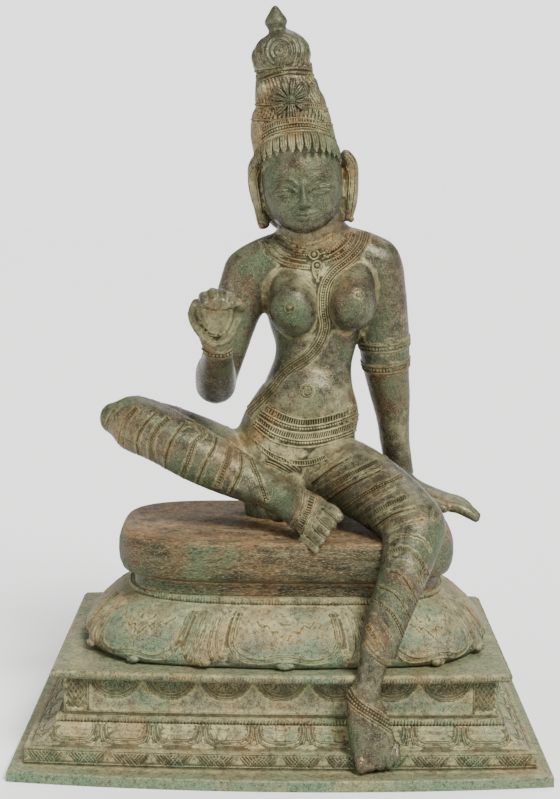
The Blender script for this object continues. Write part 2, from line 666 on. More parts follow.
def carveSteps():
    cords, thin, beads, ridges = [], [], [], []
    for side in range(4):
        # hanging medallions under the slab, with cross-hatched panels at the corners
        span = sideLength(side, 80)
        panel = 24.0
        count = round((span - 2 * panel) / plinthSizes["medallionPitch"])
        pitch = (span - 2 * panel) / count
        for k in range(count):
            middle = (k - (count - 1) / 2) * pitch
            for line in medallionMotif():
                across = pitch / plinthSizes["medallionPitch"]
                thin.append([onStep(side, middle + x * across, 93.5 + y, 0.1) for x, y in line])
        for end in (-1, 1):
            edge = end * (span / 2 - panel)
            cords.append([onStep(side, edge, z, 0.1) for z in np.linspace(58, 93, 8)])
            for k in range(9):
                start = k * 4.6
                for lean in (1, -1):
                    a, b = (start - 18, 62), (start, 91)
                    pair = [
                        (a[0] + (b[0] - a[0]) * t, a[1] + (b[1] - a[1]) * t)
                        for t in np.linspace(0, 1, 12)
                    ]
                    inside = [(x if lean > 0 else panel - x, z) for x, z in pair if 1 < x < panel - 2]
                    thin.append([onStep(side, end * (span / 2 - x), z, 0.1) for x, z in inside])
        # lower petals: two outlines to each, and a small tip between
        span = sideLength(side, 38)
        count = round(span / plinthSizes["petalPitch"])
        pitch = span / count
        for k in range(count):
            middle = (k - (count - 1) / 2) * pitch
            for half, foot in ((19.5, 33.0), (22.8, 30.6)):
                line = [
                    (-half, 46), (-half, 41), (-half * 0.93, foot + 4), (-half * 0.75, foot + 1),
                    (-half * 0.4, foot), (0, foot + 0.3)
                ]
                line += [(-x, z) for x, z in line[-2::-1]]
                cords.append([onStep(side, middle + x, z, 0.0) for x, z in splineThrough(line, 3)])
            tip = ((1.2, 45), (1.4, 38), (3.4, 32)) if k < count - 1 else ()
            for lean in (-1, 1):
                cords.append([onStep(side, middle + pitch / 2 + lean * x, z, 0.0) for x, z in tip])
        # foliate band: fans of slanted cuts between plain triangles
        span = sideLength(side, 20)
        fans = round(span / 42)
        pitch = span / fans
        for k in range(fans):
            middle = (k - (fans - 1) / 2) * pitch
            for j in range(6):
                cut = [
                    ((j + 0.6) / 6 * pitch / 2 - pitch * 0.25 * (1 - t), 13 + 12.5 * t)
                    for t in (0.04, 0.5, 0.96)
                ]
                for lean in (-1, 1):
                    thin.append(
                        [onStep(side, middle + lean * x, z, 0.1) for x, z in cut if abs(x) < pitch / 2]
                    )
            thin.append(
                [
                    onStep(side, middle + x, z, 0.1)
                    for x, z in arcLine((0, 13), (pitch * 0.22, 9), 0, 180, 10)
                ]
            )
        # moulding lines
        for z in (13, 26.2, 57.5):
            span = sideLength(side, z)
            cords.append([onStep(side, u, z, 0.0) for u in np.linspace(-span / 2, span / 2, 40)])
    around = range(0, stepsGrid.shape[1], 3)
    for z, store in ((51.0, beads), (98.6, ridges)):
        line = [onGrid(stepsGrid, c, rowAt(z)) for c in around]
        store.append([*line, line[0]])
    layCords("plinth", [line for line in cords if len(line) > 1], 0.85)
    layCords("plinth", [line for line in thin if len(line) > 1], 0.62, 5)
    layBeads("plinth", beads, 3.3, 1.5, 3.1)
    layBeads("plinth", ridges, 3.0, 1.4, 3.2, slant=0.35)


# Lotus tier: eight hanging petals on a rounded rectangle. Stations are (half width, half depth,
# height, share of the tips' flare), from the undercut foot to the beaded rim.
lotusSizes = {
    "power": 3.0, "bulge": 3.5, "flare": 3.0, "columns": 760, "rowPitch": 1.7, "ringPitch": 3.1,
    "stations": [
        (186, 124, 102.0, 0.0), (194, 130, 103.0, 0.1), (201, 135, 105.5, 0.35), (205, 137.5, 110.0, 0.7),
        (206.5, 138.5, 116.0, 1.0), (205, 137.5, 123.0, 0.7), (200.5, 135, 132.0, 0.3),
        (192, 129.5, 143.0, 0.05), (181, 122, 153.0, 0.0), (169.5, 114, 160.0, 0.0),
        (159, 108, 163.5, 0.0), (161.5, 109.5, 163.6, 0.0), (163, 111, 166.0, 0.0),
        (161.5, 109.5, 168.5, 0.0), (157, 105, 169.5, 0.0),
    ],
    # a quarter of the outline from the front's middle: half petal, strip, corner petal, strip, half petal
    "shares": (0.21, 0.14, 0.36, 0.12, 0.17), "middleHalf": (195, 131),
}


def evenTurns(half, power, count):
    # turns that space points evenly along a rounded rectangle, from the middle of the front
    turn = np.linspace(-math.pi / 2, 1.5 * math.pi, 60001)
    x, y = planPoint(half, turn, power)
    run = np.concatenate([[0], np.cumsum(np.hypot(np.diff(x), np.diff(y)))])
    return np.interp(np.arange(count) / count * run[-1], run, turn), run[-1]


def lotusPetals():
    # (middle, half width, kind) of each petal and strip, as shares of the outline from the front's middle
    a, b, c, d, e = [s / 4 for s in lotusSizes["shares"]]
    quarter = [
        (a + b / 2, b / 2, "strip"), (a + b + c / 2, c / 2, "petal"), (a + b + c + d / 2, d / 2, "strip")
    ]
    out = [(0.0, a, "petal"), (0.25, e, "petal"), (0.5, a, "petal"), (0.75, e, "petal")]
    for middle, half, kind in quarter:
        out += [
            (middle, half, kind), (0.5 - middle, half, kind), (0.5 + middle, half, kind),
            (1 - middle, half, kind)
        ]
    return out


def buildLotus():
    size = lotusSizes
    columns = round(size["columns"] / coarse / 4) * 4
    turns, length = evenTurns(size["middleHalf"], size["power"], columns)
    place = np.arange(columns) / columns
    stations = []
    for low, high in zip(size["stations"], size["stations"][1:]):
        low, high = np.array(low, float), np.array(high, float)
        parts = max(1, round(np.linalg.norm((high - low)[:3]) / (size["rowPitch"] * coarse)))
        stations += [low + (high - low) * k / parts for k in range(parts)]
    stations.append(np.array(size["stations"][-1], float))
    swell, tips = np.zeros(columns), np.zeros(columns)
    for middle, half, kind in lotusPetals():
        away = (place - middle + 0.5) % 1.0 - 0.5
        swell = np.maximum(swell, petalSwell(away, half * 0.96, 5) * (1.0 if kind == "petal" else 0.45))
        tips = np.maximum(
            tips, np.exp(-((away / (half * 0.42)) ** 2)) * (1.0 if kind == "petal" else 0.75)
        )
    rings = []
    for wide, deep, z, flare in stations:
        bulge = size["bulge"] * math.sin(math.pi * min(1.0, max(0.0, (z - 101) / 64)))
        out = bulge * (swell - 0.5) * 1.5 + flare * size["flare"] * tips
        x, y = planPoint((wide + out, deep + out), turns, size["power"])
        centre = plinthSizes["seatCentre"]
        rings.append(np.stack([x + centre[0], y + centre[1], z + flare * 3 * (0.5 - tips)], 1))
    return np.array(rings), np.array([s[2] for s in stations]), length


lotusGrid, lotusHeights, lotusLength = buildLotus()
lotus = meshObject("lotusTier", shell(lotusGrid))
smoothShaded(lotus, 50)


def onLotus(place, z, out):
    row = float(np.interp(z, lotusHeights, np.arange(len(lotusHeights))))
    at = onGrid(lotusGrid, place * lotusGrid.shape[1], row)
    centre = np.array([*plinthSizes["seatCentre"], at[2] - 20])
    return at + unit(at - centre) * out


def carveLotus():
    heavy, thin, beads, tips = [], [], [], []
    for middle, half, kind in lotusPetals():
        drawn = []
        if kind == "petal":
            for grow in (0.0, 0.09):
                low = 62 * grow
                line = [
                    (-0.84 - grow, 156), (-0.86 - grow, 140), (-0.83 - grow, 127),
                    (-0.66 - grow * 0.7, 117.5 - 60 * grow), (-0.42, 115 - low), (-0.16, 119 - low),
                    (0, 120.5 - low)
                ]
                drawn.append(line + [(-x, z) for x, z in line[-2::-1]])
            if half * lotusLength > 40:
                # a small hanging spray on the petal, drawn with punched dots
                zigzag = [(30, 150), (24, 144), (19, 147), (13, 139), (8, 143), (2, 134)]
                beads += [
                    [onLotus(middle + lean * x / lotusLength, z, -0.2) for x, z in zigzag]
                    for lean in (-1, 1)
                ]
                beads.append(
                    [
                        onLotus(middle + x / lotusLength, z, -0.2)
                        for x, z in arcLine((0, 150), (8, 4), 0, 360, 13)
                    ]
                )
        else:
            for grow in (0.25, 0.62):
                strip = [(grow - 0.12, 157), (grow * 0.8, 140), (grow, 125), (grow + 0.25, 112)]
                drawn += [[(lean * x, z) for x, z in strip] for lean in (-1, 1)]
        heavy += [
            [onLotus(middle + x * half, z, 0.0) for x, z in splineThrough(line, 4)] for line in drawn
        ]
        tips.append((onLotus(middle, 109 if kind == "petal" else 110, 0.0), middle))
    # the curled tips under the petals: a fat scroll with a coil on its face
    for centre, middle in tips:
        outward = unit(centre - onLotus(middle, 150, 0.0)) * np.array((1, 1, 0))
        side = np.array((-outward[1], outward[0], 0)) / max(np.linalg.norm(outward), 1e-6)
        turn = math.degrees(math.atan2(side[1], side[0]))
        at = centre - outward * 0.5 + np.array((0, 0, 1.0))
        ornaments["plinth"].append(meshObject("tip", ball(at, (9.5, 5.2, 4.6), turn, "Z")))
        face = at + unit(outward) * 4.9
        spiral = [
            ((0.8 + 0.22 * k) * math.cos(0.7 * k), (0.8 + 0.22 * k) * math.sin(0.7 * k))
            for k in range(13)
        ]
        thin.append([face + side * 1.4 * x + np.array((0, 0, 0.9 * z)) for x, z in spiral])
    ring = [onLotus(k / 240, 166.2, -0.4) for k in range(240)]
    layCords("plinth", heavy, 1.15)
    layCords("plinth", thin, 0.6, 5)
    layBeads("plinth", beads, 2.6, 0.45)
    layBeads("plinth", [[*ring, ring[0]]], lotusSizes["ringPitch"], 1.45, 3.4)


# Cushion seat: a profile turned round the same outline, made in a geometry tree. Rows up to the rim's
# share climb the side; the rest close the top, which is dished.
seatSizes = {
    "Half Width": 173.5, "Half Depth": 119.0, "Foot": 159.0, "Height": 67.5, "Power": 3.8, "Columns": 260,
    "Rows": 90
}
seatShape = {"rim": 0.82, "mostInset": 20, "dish": 1.6, "dishEdge": 4.0, "weld": 0.02}
seatProfile = [    # (share of the height, mm in from the half size)
    (0.0, 16.5), (0.356, 16.5), (0.378, 15.5), (0.385, 9.5), (0.43, 4.0), (0.55, 1.0), (0.68, 0.0),
    (0.83, 0.4), (0.93, 2.2), (0.965, 3.8), (0.985, 6.0), (1.0, 9.0),
]


def seatTree(finish):
    plain = ("Power", "Columns", "Rows")
    tree, step = newTree("cushionSeat", {k: v * (1 if k in plain else mm) for k, v in seatSizes.items()})
    step["at"] = addNode(tree, "GeometryNodeInputPosition").outputs[0]
    shape, middle = seatShape, plinthSizes["seatCentre"]
    parts = addNode(tree, "ShaderNodeSeparateXYZ", None, {0: step["at"]}).outputs
    step["across"], step["along"] = parts["X"], parts["Y"]
    sums = [    # (step, operation, its inputs)
        ("turn", "MULTIPLY", "across", 2 * math.pi), ("up", "ADD", "along", 0.5),
        ("climb", "DIVIDE", "up", shape["rim"]), ("side", "MINIMUM", "climb", 1.0),
    ]
    later = [
        ("inset", "MULTIPLY", "profile", shape["mostInset"] * mm),
        ("overRim", "SUBTRACT", "up", shape["rim"]), ("overShare", "DIVIDE", "overRim", 1 - shape["rim"]),
        ("inward", "MAXIMUM", "overShare", 0.0), ("left", "SUBTRACT", 1.0, "inward"),
        ("rounding", "DIVIDE", 2.0, "Power"),
        ("dishRun", "MULTIPLY", "inward", shape["dishEdge"]), ("dishShare", "MINIMUM", "dishRun", 1.0),
        ("dishTurn", "MULTIPLY", "dishShare", math.pi / 2), ("dishWave", "SINE", "dishTurn"),
        ("dish", "MULTIPLY", "dishWave", -shape["dish"] * mm),
        ("level", "MULTIPLY_ADD", "side", "Height", "Foot"), ("z", "ADD", "level", "dish"),
    ]
    for label, wave, half, centre in (
        ("x", "COSINE", "Half Width", middle[0]), ("y", "SINE", "Half Depth", middle[1])
    ):
        later += [
            (label + "Wave", wave, "turn"), (label + "Size", "ABSOLUTE", label + "Wave"),
            (label + "Power", "POWER", label + "Size", "rounding"),
            (label + "Sign", "SIGN", label + "Wave"),
            (label + "Share", "MULTIPLY", label + "Sign", label + "Power"),
            (label + "Half", "SUBTRACT", half, "inset"),
            (label + "Left", "MULTIPLY", label + "Half", "left"),
            (label + "Out", "MULTIPLY", label + "Share", label + "Left"),
            (label, "ADD", label + "Out", centre * mm),
        ]
    rows, moreRows = [
        [
            (label, "ShaderNodeMath", {"operation": kind}, dict(enumerate(values)))
            for label, kind, *values in part
        ]
        for part in (sums, later)
    ]
    grid = {"Size X": 1.0, "Size Y": 1.0, "Vertices X": "Columns", "Vertices Y": "Rows"}
    addSteps(tree, step, [
        *rows, ("profile", "ShaderNodeFloatCurve", {}, {"Value": "side"}), *moreRows,
        ("grid", "GeometryNodeMeshGrid", {}, grid),
        ("place", "ShaderNodeCombineXYZ", {}, {"X": "x", "Y": "y", "Z": "z"}),
        ("moved", "GeometryNodeSetPosition", {}, {"Geometry": "grid", "Position": "place"}),
        (
            "joined", "GeometryNodeMergeByDistance", {},
            {"Geometry": "moved", "Distance": shape["weld"] * mm}
        ),
    ])
    curve = step["profile"].node
    points = curve.mapping.curves[0].points
    places = [(share, inset / shape["mostInset"]) for share, inset in seatProfile]
    points[0].location, points[-1].location = places[0], places[-1]
    for spot in places[1:-1]:
        points.new(*spot)
    for point in points:
        point.handle_type = "VECTOR"
    curve.mapping.update()
    return endTree(tree, step["joined"], finish)


def buildSeat():
    made = polylines("cushionSeat", [[(0, 0, 0), (1, 0, 0)]])
    grown(made, seatTree(finishes["seat"]), {})
    bm = bmesh.new()
    bm.from_mesh(made.data)
    holes = [e for e in bm.edges if e.is_boundary]
    if holes:
        bmesh.ops.contextual_create(bm, geom=holes)
    bmesh.ops.recalc_face_normals(bm, faces=bm.faces)
    bm.to_mesh(made.data)
    bm.free()
    smoothShaded(made, 40)
    return made


seat = buildSeat()
carveSteps()
carveLotus()
print("plinth carved")


# The figure: every station is (x, y, z, half width, half depth). Trunk and arms, legs, head, hands and
# feet are skinned apart, each as fine as it needs, and meet under ornaments or inside each other.
trunk = [
    (15, 26, 300, 60, 45), (20, 25, 322, 57, 43.5), (25, 24, 340, 56.5, 42), (27.5, 22, 366, 47, 37),
    (31, 21, 392, 41, 33.5), (33, 22, 412, 44, 34), (33, 23, 435, 51, 37), (34, 24, 460, 58, 38),
    (33, 25, 480, 64, 36), (33, 25, 495, 62, 31), (33, 24, 506, 52, 28), (32, 21, 515, 42, 29),
    (29, 18, 524, 37, 30), (25, 15, 535, 35, 30),
]
shoulderLine = [
    (-34, 24, 484, 30, 29), (-10, 23, 498, 28, 27), (28, 22, 508, 26, 26), (69, 24, 507, 26, 26),
    (95, 26, 494.5, 29, 28)
]
rightUpperArm = [
    (-36, 24, 483, 30, 28), (-51, 20, 444, 26, 25), (-62, 14, 406, 23.5, 22), (-72, 6, 370, 21, 20)
]
rightForearm = [
    (-72, 6, 366.5, 22, 21), (-71, -32, 385, 21, 19.5), (-68, -68, 400, 16.5, 15),
    (-66.5, -84, 409, 14.5, 12.5)
]
leftArm = [
    (97, 26, 488, 29, 28), (103.5, 34, 450, 27.5, 27), (107.5, 43, 405, 27.5, 26),
    (111, 50, 376, 24.5, 24), (116, 56, 348, 21.5, 21), (119.5, 61, 322, 18, 18),
    (122.5, 66, 295, 16.5, 16), (129, 70, 264, 15, 13),
]
belly = ((25, 6, 354), (45, 31, 40))
breasts = [((9, -14, 449), (26.5, 29, 28)), ((70, -14, 454), (25.5, 28, 28))]

pelvis = [
    (11, 26, 238, 54, 44), (12, 28, 252, 70, 54), (13, 28, 285, 69, 53), (17, 26, 315, 63, 47),
    (23, 25, 334, 57.5, 42.5)
]
rightThigh = [
    (-2, 26, 274, 44, 44), (-45, 20, 277, 35, 38), (-88, 10, 299, 32, 34), (-128, -8, 320, 28.5, 30),
    (-150, -20, 330, 24, 26)
]
rightShin = [
    (-177, -30, 335, 17, 15), (-160, -33, 332, 29, 27), (-128, -38, 320, 29.5, 30),
    (-86, -50, 299, 28.5, 29), (-44, -62, 280, 24, 24), (-14, -74, 267, 17.5, 18),
]
leftThigh = [
    (42, 14, 274, 44, 44), (68, -18, 274, 40, 39), (95, -58, 265, 37, 36), (119, -92, 251, 34, 34),
    (132, -114, 240, 32.5, 32)
]
leftShin = [
    (131, -116, 238, 33, 32), (124, -142, 212, 26, 26), (111, -158, 178, 22.5, 22),
    (99, -167, 146, 20.5, 20), (95, -170, 128, 19.5, 19)
]

# (voxel in mm, passes that soften creases, how much they are deepened again)
skinSizes = {"body": (3.5, 6, 0.35), "head": (1.7, 3, 0.25), "hand": (1.6, 2, 0.4)}


def skinPiece(name, forms, kind):
    # one closed skin over all the forms, its creases softened, divided once
    voxel, passes, sharpen = skinSizes[kind]
    made = meshObject(name, gathered(forms))
    skin = made.modifiers.new("skin", "REMESH")
    skin.mode = "VOXEL"
    skin.voxel_size = voxel * mm * coarse
    soften = made.modifiers.new("soften", "SMOOTH")
    soften.factor = 0.5
    soften.iterations = max(1, round(passes / coarse**2))
    finer = made.modifiers.new("finer", "SUBSURF")
    finer.levels = finer.render_levels = 1
    points = pointsOf(settled(made))
    # pushing away from the averaged shape brings back what the voxels took
    setPoints(made, points + sharpen * (points - relaxed(made, points, 6)))
    made.data.shade_smooth()
    return made


def buildTorso():
    forms = [limb(trunk, 30, power=2.25), limb(shoulderLine, 22, across=(0, 0, 1))]
    forms += [limb(arm, 22) for arm in (rightUpperArm, rightForearm, leftArm)]
    forms += [ball(*belly)] + [ball(*b, sides=32, rings=22) for b in breasts]
    for (x, y, z), (wide, deep, _) in breasts:
        forms.append(limb(
            [(x, 10, z + 48, 17, 8), (x, 0, z + 26, 23, 18), (x, y + 1, z + 5, wide - 1, deep - 1)], 24
        ))
    return skinPiece("goddessTorso", forms, "body")


def buildLegs():
    forms = [limb(pelvis, 30, power=2.25)]
    forms += [limb(leg, 24, across=(0, 0, 1)) for leg in (rightThigh, rightShin)]
    forms += [limb(leg, 24) for leg in (leftThigh, leftShin)]
    return skinPiece("goddessLegs", forms, "body")


# Head, in its own upright frame from the middle of the face; the whole leans to her right.
headLean = -6.0
headCentre = (17.5, 2.0, 570.0)
skull = [    # level rings about one upright axis, so each half depth sets the profile at its height
    (0, 4, -43, 5, 25), (0, 4, -41.8, 11, 31), (0, 4, -39, 18, 36.5), (0, 4, -34, 26, 40),
    (0, 4, -26, 33, 41.5), (0, 4, -14, 38.5, 42), (0, 4, 0, 41.5, 42), (0, 4, 14, 42, 42),
    (0, 4, 28, 41, 40), (0, 4, 44, 38, 35),
]
neck = [(29, 19, 533, 33, 28), (26, 16, 541, 34.5, 30), (22, 12, 556, 33, 31), (20, 10, 566, 32, 31)]
crown = [    # (x, z, radius) of the turned headdress
    (12, 598, 40), (11, 606, 43), (9, 614, 43.5), (6.7, 624, 43.2), (5, 634, 42.8), (3.9, 644, 41.2),
    (3.3, 654, 38.8), (2.4, 661, 36.2), (0.4, 668, 33.8), (-1.0, 677, 32.6), (-3.0, 684, 30.4),
    (-3.2, 687.5, 28.6), (-3.2, 689.5, 30.3), (-3.6, 694.5, 30.3), (-4.8, 696.5, 27.5), (-5.8, 701, 30),
    (-6.4, 709, 31.5), (-7.2, 717, 29.5), (-8.4, 724, 25), (-9.6, 730, 18), (-10.4, 734, 10),
    (-11, 735, 8.5), (-11.6, 738, 9.5), (-12, 742, 12), (-12.4, 746, 11.5), (-12.9, 752, 7.5),
    (-13.5, 760, 2.5),
]
crownX, crownZ, crownRadius = np.array(crown, float).T
crownDepth = {"middle": 9, "share": 0.94}    # y of the crown's axis, and its depth as a share of its width
headTurn = np.array(Matrix.Rotation(math.radians(headLean), 3, "Y"))


def onHead(x, y, z):
    return tuple(headTurn @ np.array((x, y, z), float) + np.array(headCentre))


def headStations(stations):
    return [(*onHead(*s[:3]), *s[3:]) for s in stations]


def crownPoint(x, y, z):
    return np.array((np.interp(z, crownZ, crownX) + x, crownDepth["middle"] + y, z), float)


def lineRelief(across, up, line, height, width):
    # a raised or sunk line drawn on a face seen flat: height at each point from its distance to the line
    line = splineThrough(line, 5)
    away = np.full(len(across), 1e9)
    for (ax, az), (bx, bz) in zip(line, line[1:]):
        run = max((bx - ax) ** 2 + (bz - az) ** 2, 1e-9)
        t = np.clip(((across - ax) * (bx - ax) + (up - az) * (bz - az)) / run, 0, 1)
        away = np.minimum(away, np.hypot(across - ax - t * (bx - ax), up - az - t * (bz - az)))
    return height * np.exp(-((away / width) ** 2))


faceLines = [    # (line, height, width, times drawn: the second is mirrored)
    ([(5, 8), (11, 13.5), (20, 16), (29, 13), (36, 6)], 1.0, 1.3, 2),
    ([(6.5, 0.6), (11, 4.8), (18, 7), (25, 5.6), (31.5, 1.6)], 1.6, 1.0, 2),
    ([(7, 5), (12, 8.6), (18, 10.2), (25, 9), (31, 5.5)], -0.9, 0.9, 2),
    ([(6.5, 0.6), (12, -1.8), (19, -2.8), (26, -1.2), (31.5, 1.6)], 1.1, 0.9, 2),
    ([(9, 1.0), (18, 2.0), (28.5, 1.8)], -1.4, 1.0, 2),
    ([(0, -24.2), (4, -23.6), (8, -23.8), (12.6, -22.6)], -0.75, 0.9, 2),
    ([(6.6, -12), (7.4, -15)], -0.7, 1.0, 2),
    ([(0, -17.5), (0, -20.5)], -0.35, 1.2, 1),
]


def carveHead(head):
    points, normals = pointsOf(head), normalsOf(head)
    x, y, z = ((points - np.array(headCentre)) @ headTurn).T
    front = np.clip((-y - 8) / 10, 0, 1) * (z < 32)
    lift = np.zeros(len(points))
    for line, height, width, both in faceLines:
        for side in (1, -1)[:both]:
            drawn = [(side * across, up) for across, up in line]
            lift += lineRelief(x, z, drawn, height, width) * front
    # headdress: rings of hair coiled on the ball, combed locks and hatched bands below; then the hair
    # combed down the back of the head
    middle = np.interp(points[:, 2], crownZ, crownX)
    cx, cy, cz = points[:, 0] - middle, points[:, 1] - crownDepth["middle"], points[:, 2]
    turn = np.arctan2(cx, -cy)
    strand = (np.abs(points[:, 0] + 6.5) < 6.5) & (cz < 706)
    coil = np.where(
        strand, (points[:, 0] + 6.5) / 4.0, np.hypot(points[:, 0] + 7.5, (cz - 713) * 0.95) / 4.9
    )
    allRound, sides = 1, np.clip((np.abs(turn) - 0.75) / 0.4, 0, 1)
    hair = [    # (phase, height, from z, over, to z, over, where)
        (2 * math.pi * coil, 0.25 + 0.5 * np.clip(-cy / 16, 0, 1), 697, 2, 732, 3, allRound),
        (turn * 46 + cz * 0.25, 0.5, 660, 2, 687, 2, allRound),
        (turn * 54 - cz * 0.5, 0.5, 643, 1.5, 655, 1.5, allRound),
        (turn * 60 + cz * 0.35, 0.4, 617, 2, 641, 2, sides),
    ]
    for phase, height, low, over, high, under, where in hair:
        fade = np.clip((cz - low) / over, 0, 1) * np.clip((high - cz) / under, 0, 1)
        lift += np.cos(phase) * height * fade * where
    comb = np.cos((x + 0.05 * z) * 2 * math.pi / 4.4)
    behind = np.clip((y - 14) / 6, 0, 1) * np.clip((z + 32) / 6, 0, 1) * np.clip((46 - z) / 4, 0, 1)
    lift += comb * 0.5 * behind
    setPoints(head, points + normals * lift[:, None])


def buildHead():
    forms = [
        limb(headStations(skull), 36, domes=False), limb(neck, 28), ball((12, 28, 570), (42, 25, 47))
    ]
    turned = [(x, crownDepth["middle"], z, r, r * crownDepth["share"]) for x, z, r in crown]
    forms.append(limb(turned, 44, steps=1, domes=False))
    forms.append(ball(crownPoint(0, 22, 632), (43, 20, 30), -8))
    nose = [
        (0, -36, 12, 2.4, 3.2), (0, -37.6, 3, 2.7, 4.6), (0, -39.6, -5, 3.2, 6.0), (0, -41, -11, 4.4, 6.2)
    ]
    forms.append(limb(headStations(nose), 16))
    for side in (-1, 1):
        forms.append(ball(onHead(side * 5.2, -38.2, -12.8), (3.4, 4.6, 3.2)))
        forms.append(ball(onHead(side * 18, -30.6, 2.2), (12, 6.0, 5.2), headLean))
        forms.append(ball(onHead(side * 15, -22, -13), (15, 12, 17), headLean))
        brow = [
            (4.5, -37.2, 9, 1.3, 1.3), (12, -36.0, 14, 1.5, 1.5), (21, -32.2, 15.6, 1.5, 1.5),
            (31, -24.6, 11, 1.2, 1.3)
        ]
        forms.append(limb(headStations([(side * s[0], *s[1:]) for s in brow]), 10, across=(0, 0, 1)))
    upper = [(-12, -34.8, -22.4, 1.3, 1.5), (-6, -37.4, -21.4, 2.2, 2.1), (0, -38.4, -22, 2.0, 2.0)]
    lower = [(-9.5, -35.0, -24.8, 1.3, 1.5), (-4.5, -36.8, -26.2, 2.2, 2.2), (0, -37.4, -26.6, 2.4, 2.4)]
    for half in (upper, lower):
        lip = half + [(-s[0], *s[1:]) for s in half[-2::-1]]
        forms.append(limb(headStations(lip), 14, across=(0, 0, 1)))
    right = [
        (-29, 12, 604, 6, 10), (-33.5, 14, 594, 7, 12), (-32, 15, 577, 7.5, 12), (-28, 15, 558, 7, 10),
        (-23, 14, 537, 7, 7)
    ]
    left = [
        (62, 12, 608, 6, 10), (67, 14, 598, 8, 12), (68, 15, 579, 8, 12), (67, 15, 560, 8, 10),
        (65, 14, 545, 6, 7)
    ]
    forms += [limb(ear, 16) for ear in (right, left)]
    forms.append(ball((56, 19, 573), (9, 9, 37)))
    for side in (-1, 1):
        forms.append(ball(crownPoint(side * 23.5, -13, 676 + 3 * side), (8.5, 12, 11), -8))
    head = skinPiece("goddessHead", forms, "head")
    carveHead(head)
    return head


def finger(path, radii):
    return limb([(*p, r, r) for p, r in zip(path, radii)], 14)


def buildRightHand():
    palm = [
        (-66.5, -84, 409, 14.5, 12.5), (-67, -92, 416, 15, 11), (-67.5, -99, 430, 19, 10),
        (-68, -104, 445, 22, 11), (-67, -108, 458, 21, 11), (-66, -110, 466, 19, 9)
    ]
    rim = [
        (-88, -113, 463), (-92, -115, 452), (-88, -115, 440), (-79, -113, 428), (-68, -111, 421.5),
        (-56.5, -113, 428), (-49, -115, 441), (-45.5, -116, 454), (-46, -118, 464)
    ]
    forms = [limb(palm, 24), finger(rim, (4.2, 4.2, 4.4, 4.2, 4.0, 4.0, 4.4, 4.4, 4.2))]
    # the bent fingers lie side by side as one bank, a second bank of their tips under it, the thumb beyond
    for k in range(4):
        x, rise = -80 + 8.6 * k, (-2.5, 1.0, 0.5, -2.5)[k]
        forms.append(finger(
            [(x, -112, 460), (x, -120, 471 + rise), (x + 1, -133, 472 + rise), (x + 2, -141, 466 + rise)],
            (5.4, 5.6, 5.4, 4.6)
        ))
    tips = [
        (-87, -128, 462.5), (-78, -136, 463.5), (-66, -140, 461.5), (-54, -138, 463), (-45, -130, 466)
    ]
    forms += [
        finger(tips, (3.6, 4.4, 4.8, 4.4, 3.6)),
        finger([(-50, -108, 440), (-45, -116, 454), (-43, -127, 463)], (6, 5.6, 4.8))
    ]
    return skinPiece("rightHand", forms, "hand")


def buildLeftHand():
    back = [
        (127.5, 70, 270, 15, 13), (131, 70, 258, 15, 12), (139, 69, 249, 16, 11.5),
        (152, 64, 242, 22, 11), (170, 58, 236.5, 23, 10), (184, 55, 232.5, 22, 9.5)
    ]
    forms = [limb(back, 22, across=(0, 1, 0))]
    for k in range(4):
        y, reach, drop = 72 - 11 * k, (207, 210, 211, 209)[k], (1, 0, -0.5, -1)[k]
        path = [
            (176, y, 234 + drop), (190, y - 3, 232 + drop), (200, y - 5, 227.5 + drop),
            (reach, y - 6, 221.5 + drop)
        ]
        forms.append(finger(path, (6.8, 6.6, 6.2, 4.8)))
    forms.append(finger([(146, 46, 240), (160, 36, 235), (174, 31, 231)], (7, 6.5, 5.5)))
    return skinPiece("leftHand", forms, "hand")


def buildRightFoot():
    forms = [limb(
        [(-20, -72, 269.5, 17.5, 18), (-6, -79, 263.5, 17.5, 17.5), (6, -84, 259, 16.5, 16)], 22,
        across=(0, 0, 1)
    )]
    instep = [
        (2, -80, 259, 17, 15), (16, -97, 255, 21, 13.5), (29, -114, 248.5, 24, 12),
        (36, -124, 244.5, 23.5, 10.5)
    ]
    forms += [limb(instep, 22, across=(0.3, 0, 0.95)), ball((-4, -72, 250), (15, 14, 15))]
    for k in range(5):    # toes from the great toe down, side by side and bent a little at the joint
        root = np.array((39.5 - 5.0 * k, -122, 261.5 - 8.6 * k))
        tip = np.array((54.5 - 4.1 * k, -141, 255 - 8.3 * k)) - np.array((1.2, 0.4, 0)) * k
        size = 6.6 if k == 0 else 5.0 - 0.15 * k
        forms.append(finger(
            [root, (root * 0.45 + tip * 0.55) + np.array((1.2, -1.5, 1.5)), tip],
            (size * 0.95, size, size * 0.9)
        ))
    return skinPiece("rightFoot", forms, "hand")


def buildLeftFoot():
    ankle = [(94, -170, 134, 15, 15.5), (86, -176, 100, 13.5, 15), (80, -180, 82, 16, 16)]
    instep = [
        (80, -180, 84, 16, 14), (84, -184, 66, 20, 14), (88, -188, 48, 22, 12), (92, -191, 32, 22, 10),
        (93, -192, 24, 20, 8)
    ]
    forms = [limb(ankle, 22), limb(instep, 22)]
    for k in range(5):
        x, size, drop = 78 + 8.7 * k, (6.8 if k == 0 else 4.9 - 0.2 * k), (0, 1, 2, 4, 7)[k]
        forms.append(finger(
            [(x, -190, 32 + drop), (x, -196, 24 + drop), (x + 1, -198, 17.5 + drop)],
            (size, size, size * 0.9)
        ))
    return skinPiece("leftFoot", forms, "hand")


torso, legs, head = buildTorso(), buildLegs(), buildHead()
hands = [buildRightHand(), buildLeftHand()]
feet = [buildRightFoot(), buildLeftFoot()]
skins = [torso, legs, head, *hands, *feet]
print("body shaped")


# Lines laid on the skin: seen from the camera by pixel, or round a limb by a plane.

def treeOf(targets):
    points, faces = gathered(
        [(pointsOf(t), [tuple(p.vertices) for p in t.data.polygons]) for t in targets]
    )
    return BVHTree.FromPolygons(points.tolist(), faces)


